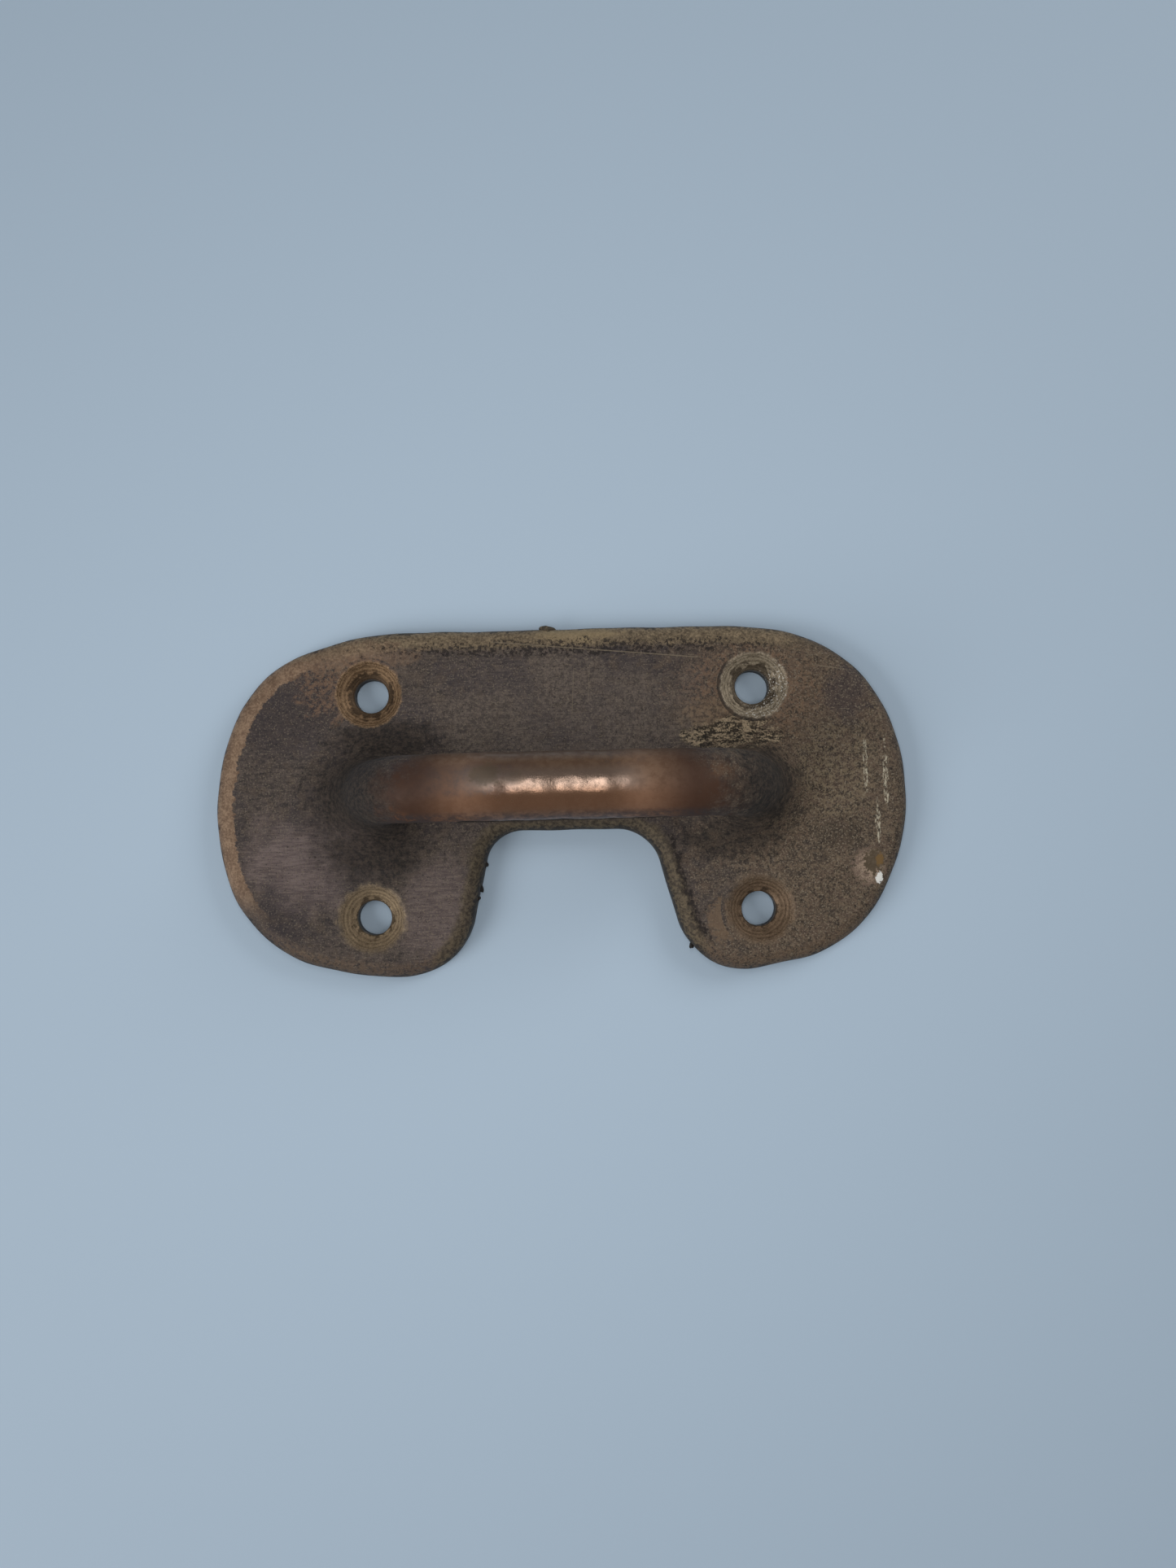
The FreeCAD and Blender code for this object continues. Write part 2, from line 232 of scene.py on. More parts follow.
front_grid = patch(RIM_ROUND)
back_grid = patch(BACK_EDGE_ROUND)
front_x, front_y = front_grid[..., 0], front_grid[..., 1]
front_points = np.stack(
    [front_x, front_y, face_height(front_x, front_y) - under_the_roots(front_x, front_y)], -1)
back_points = np.stack([back_grid[..., 0], back_grid[..., 1], np.zeros_like(front_x)], -1)

insets, heights = rim_profile()
rim_xy = edge[loop][None] - insets[:, None, None] * edge_out[loop][None]
rim_waves = hand_filed(rim_xy[..., 0], rim_xy[..., 1])
rim_z = heights[:, None] + rim_waves * heights[:, None] / PLATE_THICKNESS
rim_points = np.concatenate([rim_xy, rim_z[..., None]], -1)

grid_size = (ALONG + 1) * (ACROSS + 1)
front_index = np.arange(grid_size).reshape(ALONG + 1, ACROSS + 1)
rim_index = grid_size + np.arange(rim_z.size).reshape(rim_z.shape)
back_index = grid_size + rim_z.size + front_index


def border_of(index):
    """Point numbers of a patch's border, walked as the edge of the plate is."""
    return np.concatenate([index[0, :-1], index[:-1, -1], index[-1, :0:-1], index[:0:-1, 0]])


rim_rings = np.concatenate([border_of(front_index)[None], rim_index, border_of(back_index)[None]])
rim_rings = np.concatenate([rim_rings, rim_rings[:, :1]], 1)
plate_points = np.concatenate(
    [front_points.reshape(-1, 3), rim_points.reshape(-1, 3), back_points.reshape(-1, 3)])


def clear_of_holes(faces, radius):
    """The faces whose middle is further than this from every screw hole."""
    middle = plate_points[faces].mean(1)
    far = [np.hypot(middle[:, 0] - x, middle[:, 1] - y) > radius
           for x, y in SCREW_PLACES.values()]
    return faces[np.all(far, axis=0)]


# the openings left in the face and the back lie under the flanges of the screw sinks
OPENING_IN_FACE, OPENING_IN_BACK = 5.9, 3.7
plate_faces = np.concatenate([
    clear_of_holes(grid_faces(front_index), OPENING_IN_FACE),
    grid_faces(rim_rings)[:, ::-1],
    clear_of_holes(grid_faces(back_index)[:, ::-1], OPENING_IN_BACK),
])


class Wire:
    """A value or colour in a finish; arithmetic on values adds Math nodes."""

    def __init__(self, tree, socket=None):
        self.tree, self.socket = tree, socket

    def node(self, kind, settings, inputs, output=0):
        """Any node: its type, its settings, then a value or a wire for each of its sockets."""
        made = self.tree.nodes.new(kind)
        for name, value in settings.items():
            setattr(made, name, value)
        for place, value in inputs.items():
            if isinstance(value, Wire):
                self.tree.links.new(value.socket, made.inputs[place])
            else:
                made.inputs[place].default_value = value
        return Wire(self.tree, made.outputs[output] if made.outputs else None)

    def maths(self, operation, *values):
        """A Math node on values or wires."""
        return self.node("ShaderNodeMath", {"operation": operation}, dict(enumerate(values)))

    def __add__(self, other):
        return self.maths("ADD", self, other)

    def __sub__(self, other):
        return self.maths("SUBTRACT", self, other)

    def __rsub__(self, other):
        return self.maths("SUBTRACT", other, self)

    def __mul__(self, other):
        return self.maths("MULTIPLY", self, other)

    def __abs__(self):
        return self.maths("ABSOLUTE", self)

    def __pow__(self, other):
        return self.maths("POWER", self, other)

    __radd__ = __add__
    __rmul__ = __mul__

    def rise(self, low, high):
        """0 below low, 1 above high and a soft step between; falls if low is above high."""
        return self.node("ShaderNodeMapRange", {"interpolation_type": "SMOOTHSTEP"},
                         {0: self, 1: low, 2: high})

    def either(self, other):
        """The larger of two masks."""
        return self.maths("MAXIMUM", self, other)

    def cover(self, under, over):
        """The colour over laid on the colour under where this mask is 1."""
        return self.node("ShaderNodeMix", {"data_type": "RGBA"}, {0: self, 6: under, 7: over}, 2)


class Place:
    """Where a finish is on the casting, in millimetres, and patterns that depend on it."""

    def __init__(self, start):
        self.point = start.node(
            "ShaderNodeVectorMath", {"operation": "SCALE"},
            {0: start.node("ShaderNodeTexCoord", {}, {}, "Object"), "Scale": 1000.0})
        self.x, self.y, self.z = (
            self.point.node("ShaderNodeSeparateXYZ", {}, {0: self.point}, n) for n in range(3))

    def grain(self, per_mm, detail=3.0, rough=0.55, stretch=(1, 1, 1)):
        """Noise from 0 to 1 with this many features in a millimetre."""
        point = self.point
        if stretch != (1, 1, 1):
            point = point.node("ShaderNodeVectorMath", {"operation": "MULTIPLY"},
                               {0: point, 1: stretch})
        return point.node(
            "ShaderNodeTexNoise", {},
            {"Vector": point, "Scale": per_mm, "Detail": detail, "Roughness": rough})

    def blotch(self, x, y, half_x, half_y, ragged, soft=0.5):
        """A round or long patch with a ragged border: 1 inside, 0 outside."""
        across, up = (self.x - x) * (1 / half_x), (self.y - y) * (1 / half_y)
        return (across * across + up * up + (ragged - 0.5) * 5).rise(1 + soft, 1 - soft)

    def stroke(self, x1, y1, x2, y2, width):
        """A thin straight scratch between two points."""
        length = math.hypot(x2 - x1, y2 - y1)
        ux, uy = (x2 - x1) / length, (y2 - y1) / length
        along = self.x * ux + self.y * uy - (x1 * ux + y1 * uy)
        across = abs(self.y * ux - self.x * uy - (y1 * ux - x1 * uy))
        return across.rise(width, width * 0.3) * along.rise(0, 2) * along.rise(length, length - 3)


def colour(red, green, blue):
    """A colour in linear light, given in thousandths."""
    return red / 1000, green / 1000, blue / 1000, 1.0


def new_finish(name):
    """An empty finish and the wire that its first nodes hang on."""
    finish = bpy.data.materials.new(name)
    finish.use_nodes = True
    finish.node_tree.nodes.clear()
    return finish, Wire(finish.node_tree)


def close_finish(start, base, roughness, metallic, relief):
    """Join colour, roughness, metal and relief (a height in millimetres) to the surface."""
    bump = start.node("ShaderNodeBump", {}, {"Height": relief, "Distance": 0.001, "Strength": 1.0})
    shader = start.node(
        "ShaderNodeBsdfPrincipled", {},
        {"Base Color": base, "Roughness": roughness, "Metallic": metallic, "Normal": bump,
         "Specular IOR Level": 0.28})
    start.node("ShaderNodeOutputMaterial", {}, {"Surface": shader})


def cast_skin(place):
    """The brown skin of the face and the roots: colour, roughness, metal and relief."""
    cloud, mottle = place.grain(0.13, 4.0), place.grain(0.5, 5.0, 0.7)
    crumbly, fine = place.grain(1.3, 5.0, 0.75), place.grain(3.2, 3.0, 0.7)
    dust = place.grain(3.6, 2.0, 0.5)
    brushed = place.grain(1.9, 4.0, 0.7, (0.22, 1.7, 1))
    base = crumbly.rise(0.38, 0.62).cover(colour(46, 36, 32), colour(107, 81, 67))
    base = (cloud.rise(0.45, 0.6) * 0.6).cover(base, colour(55, 44, 47))
    base = (mottle.rise(0.5, 0.6) * 0.4).cover(base, colour(114, 81, 57))
    base = (brushed.rise(0.5, 0.64) * 0.45).cover(base, colour(139, 108, 89))
    base = (place.blotch(2, 14, 20, 10, cloud, 0.9) * 0.5).cover(
        base, crumbly.rise(0.4, 0.6).cover(colour(98, 76, 64), colour(200, 158, 128)))
    base = (brushed.rise(0.46, 0.36) * 0.45).cover(base, colour(30, 25, 25))
    # the left lobe below the grip is lighter and a little pink
    lobe = place.blotch(-42, -9.5, 10, 7, cloud, 0.9).either(
        place.blotch(-20, -19, 6, 8, cloud, 0.8) * 0.55)
    base = (lobe * 0.8).cover(
        base, brushed.rise(0.4, 0.6).cover(colour(154, 113, 107), colour(231, 175, 161)))
    shade = place.blotch(-46, 16, 9, 7, cloud, 0.8).either(place.blotch(-47, -19.5, 5, 4.5, mottle, 0.8))
    base = (shade * 0.5).cover(base, colour(42, 33, 37))
    # the right third is rubbed to a grainy olive tan, with rust round the upper right hole
    worn = (place.x + (cloud - 0.5) * 45 + (mottle - 0.5) * 30).rise(15, 38)
    worn_tone = (crumbly * 0.5 + fine * 0.5).rise(0.40, 0.60).cover(
        colour(42, 30, 20), colour(213, 153, 97))
    worn_tone = (mottle.rise(0.46, 0.6) * 0.5).cover(worn_tone, colour(122, 79, 57))
    worn_tone = (mottle.rise(0.47, 0.38) * 0.6).cover(worn_tone, colour(50, 36, 27))
    base = (worn * 0.8).cover(base, worn_tone)
    flecked = place.blotch(46, 4, 6, 8, mottle, 0.9) * (crumbly * 0.6 + fine * 0.4).rise(0.47, 0.57)
    base = (flecked * 0.6).cover(base, colour(235, 182, 112))
    stained = place.blotch(46, -6.5, 4, 2.6, mottle, 0.8)
    base = (stained * 0.5).cover(base, colour(46, 34, 24))
    rusty = place.blotch(32, 17, 11, 8, mottle, 0.8).either(
        place.blotch(-36, 21, 8, 6.5, mottle, 0.4))
    base = (rusty * 0.6 * crumbly.rise(0.4, 0.58)).cover(base, colour(236, 138, 82))
    purple = place.blotch(48, 16.5, 3.6, 4.5, mottle, 0.6)
    base = (purple * 0.6).cover(base, colour(60, 44, 45))
    # pale dust lies in the pores and tiny black pits show between
    base = (dust.rise(0.57, 0.64) * (0.4 + worn * 0.3)).cover(base, colour(260, 210, 150))
    base = (fine.rise(0.40, 0.33) * 0.8).cover(base, colour(12, 10, 9))
    # dark soot and painted shade round both roots, and a crust of corrosion above the right one
    patchy = mottle * 0.5 + cloud * 0.2 + 0.15
    left = place.blotch(-33, 0, 9, 9, patchy, 1.0).either(
        place.blotch(-29, 10.8, 8.5, 3.4, mottle, 0.7))
    left = left.either(place.blotch(-32, -7.5, 9, 6, patchy, 1.0))
    right = place.blotch(32, 1, 6.5, 6.5, mottle, 0.7).either(
        place.blotch(29, -7, 8.5, 3.4, mottle, 0.8) * 0.75)
    soot_and_root_shade = left.either(right)
    base = (soot_and_root_shade * 0.85).cover(
        base, crumbly.rise(0.38, 0.64).cover(colour(10, 8, 7), colour(50, 36, 27)))
    tan_field = place.blotch(27, 13.5, 8, 2.8, mottle, 0.9)
    base = (tan_field * 0.5).cover(
        base, crumbly.rise(0.4, 0.6).cover(colour(96, 64, 40), colour(240, 170, 104)))
    crust = place.blotch(28.8, 10.4, 8, 2.4, mottle, 0.5) * (
        1 - place.y.rise(11, 13) * place.x.rise(27, 24))
    cracked = place.grain(1.0, 5.0, 0.75, (0.6, 1.5, 1))
    flakes = (cracked * 0.6 + fine * 0.4).rise(0.47, 0.56)
    base = (crust * 0.85).cover(base, flakes.cover(colour(24, 20, 14), colour(480, 370, 240)))
    roughness = 0.5 + crumbly * 0.25 + soot_and_root_shade * 0.1
    metal = 0.3 - soot_and_root_shade * 0.3
    relief = (mottle * 0.05 + crumbly * (0.03 + crust * 0.25)
              + fine * (0.02 + worn * 0.03 + soot_and_root_shade * 0.02))
    return base, roughness, metal, relief


plate_finish, start = new_finish("brown_cast_skin")
place = Place(start)
base, roughness, metal, relief = cast_skin(place)
inset = start.node("ShaderNodeAttribute", {"attribute_name": "inset"}, {}, "Fac")
ragged, fine = place.grain(0.55, 5.0, 0.7), place.grain(3.0, 3.0, 0.6)
crumbly = place.grain(1.6, 4.0, 0.7)
# the left end of the rim is rubbed to tan, with a sharp border where the skin starts
border = inset + (ragged - 0.5) * 2.4 + (crumbly - 0.5) * 1.4
left_end = (place.x + place.y * 0.12).rise(-34, -42) * place.y.rise(-20, -12)
rim_tan = (fine * 0.5 + ragged * 0.5).rise(0.38, 0.62).cover(
    colour(170, 104, 66), colour(345, 232, 150))
base = (border.rise(3.5, 3.2) * left_end * 0.95).cover(base, rim_tan)
# the upper rim is olive; a row of black pits follows its inner border
upper = place.y.rise(23.5, 26) * place.x.rise(46, 36)
rim_olive = (fine * 0.4 + crumbly * 0.6).rise(0.38, 0.62).cover(
    colour(112, 82, 52), colour(350, 262, 160))
rim_olive = (place.blotch(3, 28, 7, 1.6, ragged, 0.7) * 0.5).cover(
    rim_olive, colour(470, 350, 190))
base = (border.rise(3.9, 2.8) * upper * 0.85).cover(base, rim_olive)
base = (place.blotch(-33, 24.8, 9, 2.8, ragged, 0.6) * 0.5).cover(base, rim_tan)
pitted = place.blotch(4, 25.6, 34, 1.5, ragged, 0.6) * crumbly.rise(0.5, 0.56)
base = (pitted * 0.9).cover(base, colour(26, 20, 18))
# other rims: a thinner tan line on the edge, olive on the walls of the notch
lower = border.rise(3.2, 1.6) * place.y.rise(-18, -25)
base = (lower * 0.55 * crumbly.rise(0.4, 0.55)).cover(base, colour(176, 116, 74))
notch = border.rise(3.2, 2.0) * place.y.rise(-3, -4) * abs(place.x - 1).rise(24, 21)
base = (notch * 0.75).cover(
    base, crumbly.rise(0.38, 0.62).cover(colour(52, 40, 26), colour(160, 122, 74)))
rust_spot = place.blotch(26.4, -20.5, 2.4, 3.6, crumbly, 0.4)
base = (rust_spot * 0.6).cover(base, colour(196, 128, 78))
seam = abs(inset + (ragged - 0.5) * 4.5 - RIM_ROUND).rise(0.9, 0.3)
seam = crumbly.rise(0.4, 0.54) * seam * place.blotch(20.3, -16, 5, 9.5, ragged, 0.3)
base = (seam * 0.9).cover(base, colour(18, 13, 12))
# painted shadow of the bar: a black line on the face just below it
painted_bar_shadow = place.stroke(-24, -3.0, 24, -2.8, 0.75)
base = (painted_bar_shadow * 0.9).cover(base, colour(8, 7, 7))
base = (border.rise(0.5, 0.1) * 0.8).cover(base, colour(30, 26, 24))
# long scratches, the streaks of old paint at the right end, a tan patch with a hollow and a
# spot of ochre in it, and one chip of white paint
# each scratch: its two ends, its width and how strongly it shows
SCRATCHES = [
    (-12, 26.8, 25, 23.2, 0.13, 1.0),
    (-19.2, -4.4, -24, -6.8, 0.12, 0.8),
    (41.5, 21.8, 49.8, 20.4, 0.14, 0.7),
    (40.5, 23.2, 47, 23.6, 0.12, 0.5),
    (2.6, 23, 2.0, 12.5, 0.1, 0.5),
    (5.2, 23, 4.8, 15, 0.1, 0.4),
    (38.5, 8, 42.5, -8, 0.12, 0.5),
]
scratch = 0.0
for x1, y1, x2, y2, width, strength in SCRATCHES:
    scratch = (place.stroke(x1, y1, x2, y2, width) * strength).either(scratch)
base = (scratch * 0.8).cover(base, colour(240, 190, 130))
dashes = place.grain(1.1, 4.0, 0.75, (3.0, 0.9, 1)).rise(0.49, 0.53)
streaks = place.blotch(54.1, 2.4, 0.42, 5.2, ragged, 0.3).either(
    place.blotch(50.8, 4.2, 0.38, 4.4, ragged, 0.3))
streaks = streaks.either(place.blotch(52.6, -4.8, 0.4, 3.2, ragged, 0.3)) * dashes
base = (streaks * 0.9).cover(base, colour(520, 460, 340))
tan_patch = place.blotch(50.9, -12.4, 2.7, 2.9, crumbly, 0.15)
base = (tan_patch * 0.8).cover(
    base, crumbly.rise(0.4, 0.6).cover(colour(190, 130, 96), colour(420, 310, 225)))
hollow = place.blotch(51.7, -11.6, 1.7, 2.0, crumbly, 0.15)
base = (hollow * 0.85).cover(base, colour(84, 60, 34))
ochre = place.blotch(52.6, -11.2, 0.6, 1.1, crumbly, 0.3)
base = (ochre * 0.8).cover(base, colour(210, 120, 40))
chip = place.blotch(52.5, -14.2, 0.62, 1.0, crumbly, 0.06)
base = chip.cover(base, colour(860, 840, 780))
close_finish(
    start, base, roughness + streaks * 0.15, metal * (1 - chip) * (1 - streaks),
    relief + streaks * 0.03 + chip * 0.08 - scratch * 0.03 - pitted * 0.06 - seam * 0.05)

plate = add_piece("back_plate", plate_points, plate_faces, plate_finish)
# the inset of each point, which the rim's finish reads; the back counts as far from the edge
FAR_FROM_EDGE = 9.0
outline_points = edge[loop][::2].astype(np.float32)
face_xy = front_grid.reshape(-1, 2).astype(np.float32)
from_edge = np.concatenate([
    np.min(np.hypot(*(part[:, None] - outline_points[None]).transpose(2, 0, 1)), axis=1)
    for part in np.array_split(face_xy, 16)])
inset_values = np.concatenate(
    [from_edge, np.repeat(insets, rim_z.shape[1]), np.full(grid_size, FAR_FROM_EDGE)])
layer = plate.data.attributes.new("inset", "FLOAT", "POINT")
layer.data.foreach_set("value", inset_values.astype(np.float32))

# -------------------------------------------------------------------------- countersinks
# Four holes for countersunk wood screws, drilled and sunk after casting, so their cones show
# turning rings. The upper two have crisp lips, the right one worn bright, and the lower two
# have soft lips.
HOLE_RADIUS = 2.9
SINK_RADIUS = 5.5
CONE_BOTTOM_RADIUS = 3.35
SINK_STEPS = 120
# the flange on the face stands this much proud of the plate, so that the plate stays below it
FLANGE_PROUD = 0.012
# width of the rounded lip, dull and bright colour of the metal
SINKS = {
    "upper_left": (0.10, colour(96, 56, 30), colour(400, 262, 150)),
    "upper_right": (0.14, colour(165, 132, 90), colour(580, 480, 350)),
    "lower_left": (0.45, colour(180, 132, 84), colour(470, 352, 224)),
    "lower_right": (0.60, colour(104, 68, 42), colour(300, 205, 130)),
}


def sink_profile(lip):
    """Radius and height below the face of a sunk hole, from the flange on the face to the back.

    The lip is rounded over the given width, the cone falls at 45 degrees to a small step,
    and the bore runs down to an eased edge and a narrow flange on the back.
    """
    over = np.linspace(0, 1, 9)
    lip_radius = SINK_RADIUS + lip * (1 - 2 * over)
    lip_depth = lip * over ** 2
    cone = np.linspace(0, 1, 16)[1:]
    cone_radius = lip_radius[-1] + (CONE_BOTTOM_RADIUS - lip_radius[-1]) * cone
    cone_depth = lip_depth[-1] + (lip_radius[-1] - cone_radius)
    step_depth = cone_depth[-1] + np.array([0.10, 0.22, 0.42])
    radius = np.concatenate([
        [SINK_RADIUS + lip + 0.9, SINK_RADIUS + lip + 0.45], lip_radius, cone_radius,
        [3.2, 2.98, HOLE_RADIUS], [HOLE_RADIUS] * 5, [3.0, 3.2, 4.4, 4.5]])
    depth = np.concatenate([
        [0.05, -FLANGE_PROUD], lip_depth - FLANGE_PROUD, cone_depth - FLANGE_PROUD, step_depth,
        np.linspace(step_depth[-1] + 0.4, PLATE_THICKNESS - 0.3, 5),
        PLATE_THICKNESS - np.array([0.06, 0, 0, 0.05])])
    return radius, depth


def sink_points(x, y, lip):
    """The profile turned about the screw's axis, its radius changed by 0.6 and 0.4 % waves.

    It follows the unevenness of the face, and the cove where the root's flare reaches the lip.
    """
    radius, depth = sink_profile(lip)
    turn = np.linspace(0, 2 * np.pi, SINK_STEPS, endpoint=False)[None]
    wobble = 1 + 0.006 * np.sin(2 * turn + x) + 0.004 * np.sin(5 * turn + y)
    in_bore = radius[:, None] <= HOLE_RADIUS + 0.2
    shaped = radius[:, None] * np.where(in_bore, 1, wobble)
    px, py = x + shaped * np.cos(turn), y + shaped * np.sin(turn)
    near_face = np.clip(1 - depth[:, None] / PLATE_THICKNESS, 0, 1)
    cut = near_face * np.clip((radius[:, None] - SINK_RADIUS + 0.6) / 0.6, 0, 1)
    pz = PLATE_THICKNESS - depth[:, None] + hand_filed(px, py) * near_face
    return np.stack([px, py, pz + cove_height(px, py) * cut], -1)


for where, (lip, dull, bright) in SINKS.items():
    centre_x, centre_y = SCREW_PLACES[where]
    crisp = lip < 0.3
    sink_finish, start = new_finish("turned_sink_" + where)
    place = Place(start)
    skin, skin_roughness, skin_metal, skin_relief = cast_skin(place)
    off_x, off_y = place.x - centre_x, place.y - centre_y
    radius = (off_x * off_x + off_y * off_y) ** 0.5
    ragged, fine = place.grain(0.8, 4.0, 0.6), place.grain(3.6, 2.0, 0.6)
    turned = start.node("ShaderNodeTexNoise", {"noise_dimensions": "1D"},
                        {"W": radius + (ragged - 0.5) * 0.6, "Scale": 3.4, "Detail": 2.0})
    polish = (turned.rise(0.38, 0.62) * 0.4 + ragged.rise(0.4, 0.6) * 0.25
              + fine.rise(0.4, 0.6) * 0.35)
    tone = polish.cover(dull, bright)
    # dirt lies at the bottom of the cone, the bore is dark, and the lip is rubbed bright and carries
    # painted glints
    dirt_radius = 4.1 if crisp else 3.5
    inner = (radius + (ragged - 0.5) * 4).rise(dirt_radius, dirt_radius - 0.5)
    inner = inner * place.z.rise(1.4, 2.2)
    tone = (inner * 0.7).cover(tone, colour(44, 30, 20))
    tone = place.z.rise(2.3, 1.6).cover(tone, colour(40, 34, 30))
    from_lip = radius - SINK_RADIUS
    glint = (from_lip + lip * 0.6).rise(-0.22, 0) * (from_lip - lip * 0.4).rise(0.16, 0)
    tone = (glint * fine.rise(0.4, 0.55) * (0.9 if crisp else 0.3)).cover(tone, bright)
    if where == "upper_right":
        # painted glints: white specks of highlight on the right side of the upper right sink's cone
        painted_ring_glints = fine.rise(0.6, 0.66) * (off_x - off_y * 0.6 + (ragged - 0.5) * 12).rise(0, 2.5)
        tone = painted_ring_glints.cover(tone, colour(900, 880, 820))
        # painted shade: a dark crescent on the skin at the lower left of the ring, where the root's cove
        # rises beside the sink
        painted_crescent_shade = (off_x * -1 - off_y * 0.5 + (ragged - 0.5) * 6).rise(0, 3)
        painted_crescent_shade = radius.rise(5.2, 5.6) * painted_crescent_shade
        skin = (painted_crescent_shade * 0.7).cover(skin, colour(22, 18, 15))
    on_face = (radius + (ragged - 0.5) * (1.2 + 3 * lip)).rise(
        SINK_RADIUS - 0.1 - 1.7 * lip, SINK_RADIUS + 0.2 + 1.3 * lip)
    close_finish(
        start, on_face.cover(tone, skin),
        on_face * skin_roughness + (1 - on_face) * (0.44 + fine * 0.2),
        on_face * skin_metal + (1 - on_face) * 0.5,
        on_face * skin_relief + (1 - on_face) * (turned * 0.035 + fine * 0.008))
    points = sink_points(centre_x, centre_y, lip)
    index = np.arange(points.shape[0] * SINK_STEPS).reshape(-1, SINK_STEPS)
    index = np.concatenate([index, index[:, :1]], 1)
    add_piece("screw_sink_" + where, points.reshape(-1, 3), grid_faces(index), sink_finish)

# ---------------------------------------------------------------------------------- grip
# The grip is a round bar of about 10 mm on two legs that lean inwards and widen into the plate
# with trumpet shaped roots, all one casting. Hands have kept the bar bare: it is smooth copper
# brown, redder where it bends down, and the roots are rough, with soot and painted shade.
BAR_RADIUS = 5.15
BAR_AXIS_Z = 25.5
BEND_RADIUS = 12
LEG_LEAN = math.radians(16)
BEND_CENTRES = {"left": -17.0, "right": 17.8}
AROUND = 176
ROOT_ROWS, BEND_ROWS, GRIP_ROWS = 56, 34, 60
# the curve of a root: how far it goes on level from the foot and along the leg from the bend,
# and how much more on the outer side than in the middle
LEVEL_RUN, LEVEL_RUN_OUTER = 4.78, 0.1
LEG_RUN, LEG_RUN_OUTER = 7.25, 1.5


def root_points(side, rows):
    """One root: for each direction round the leg, a Bezier curve from the face to the bend.

    It leaves the face level and meets the end circle of the bend along the leg. A skirt goes
    on into the plate, and near a screw the root passes below the sink, which covers it.
    """
    sign = -1 if side == "left" else 1
    turn = np.linspace(0, 2 * np.pi, AROUND, endpoint=False)[None]
    out = np.cos(turn)
    bend_x = BEND_CENTRES[side] + sign * BEND_RADIUS * math.cos(LEG_LEAN)
    bend_z = BAR_AXIS_Z - BEND_RADIUS + BEND_RADIUS * math.sin(LEG_LEAN)
    top = np.stack([bend_x + sign * BAR_RADIUS * math.cos(LEG_LEAN) * out,
                    BAR_AXIS_Y + BAR_RADIUS * np.sin(turn),
                    bend_z + BAR_RADIUS * math.sin(LEG_LEAN) * out], -1)
    middle, half_length = FEET[side]
    foot = np.stack([middle + sign * half_length * out, BAR_AXIS_Y + FOOT_HALF_WIDTH * np.sin(turn),
                     np.full_like(out, PLATE_THICKNESS)], -1)
    down = np.array([sign * math.sin(LEG_LEAN), 0, -math.cos(LEG_LEAN)])
    inward = np.stack([-sign * out, -np.sin(turn), np.zeros_like(out)], -1)
    below_top = top + (LEG_RUN + LEG_RUN_OUTER * out)[..., None] * down
    beside_foot = foot + (LEVEL_RUN + LEVEL_RUN_OUTER * out)[..., None] * inward
    t = np.linspace(0, 1, rows)[:, None, None]
    curve = ((1 - t) ** 3 * foot + 3 * (1 - t) ** 2 * t * beside_foot
             + 3 * (1 - t) * t ** 2 * below_top + t ** 3 * top)
    near_foot = np.clip(1 - t[..., 0] / 0.35, 0, 1)
    near_foot = near_foot ** 2 * (3 - 2 * near_foot)
    curve[..., 2] += hand_filed(curve[..., 0], curve[..., 1]) * near_foot
    skirt = foot - 0.7 * inward
    skirt[..., 2] += hand_filed(skirt[..., 0], skirt[..., 1]) - 0.06
    root = np.concatenate([skirt, curve])
    for x, y in SCREW_PLACES.values():
        from_screw = np.hypot(root[..., 0] - x, root[..., 1] - y)
        below_sink = PLATE_THICKNESS - 0.25 - np.clip(SINK_RADIUS - from_screw, 0, 2)
        inside = (from_screw < SINK_RADIUS + 0.3) & (root[..., 2] < PLATE_THICKNESS + 2)
        root[..., 2] = np.where(inside, np.minimum(root[..., 2], below_sink), root[..., 2])
    return root


def bar_points(bend_rows, grip_rows):
    """The bar: a circle carried over the left bend, along the grip and down the right bend.

    The radius swells and shrinks by a few hundredths, as a bar finished with a file does.
    """
    swing = np.linspace(math.pi - LEG_LEAN, math.pi / 2, bend_rows + 1)
    left_x = BEND_CENTRES["left"] + BEND_RADIUS * np.cos(swing)
    right_x = BEND_CENTRES["right"] - BEND_RADIUS * np.cos(swing[::-1])
    bend_z = BAR_AXIS_Z - BEND_RADIUS + BEND_RADIUS * np.sin(swing)
    straight = np.linspace(BEND_CENTRES["left"], BEND_CENTRES["right"], grip_rows)[1:-1]
    axis_x = np.concatenate([left_x, straight, right_x])[:, None]
    axis_z = np.concatenate([bend_z, np.full(grip_rows - 2, BAR_AXIS_Z), bend_z[::-1]])[:, None]
    lean = np.concatenate([swing, np.full(grip_rows - 2, math.pi / 2), math.pi - swing[::-1]])
    lean = lean[:, None]
    turn = np.linspace(0, 2 * np.pi, AROUND, endpoint=False)[None]
    away_from_ends = np.clip((33 - abs(axis_x - 0.4)) / 6, 0, 1)
    radius = BAR_RADIUS + away_from_ends * (
        0.035 * np.sin(0.5 * axis_x + turn) + 0.03 * np.sin(0.9 * axis_x - 2 * turn + 1)
        + 0.02 * np.sin(1.7 * axis_x + 3 * turn + 2) - 0.03)
    return np.stack([axis_x + radius * np.cos(turn) * np.cos(lean),
                     BAR_AXIS_Y + radius * np.sin(turn) + 0 * axis_x,
                     axis_z + radius * np.cos(turn) * np.sin(lean)], -1)


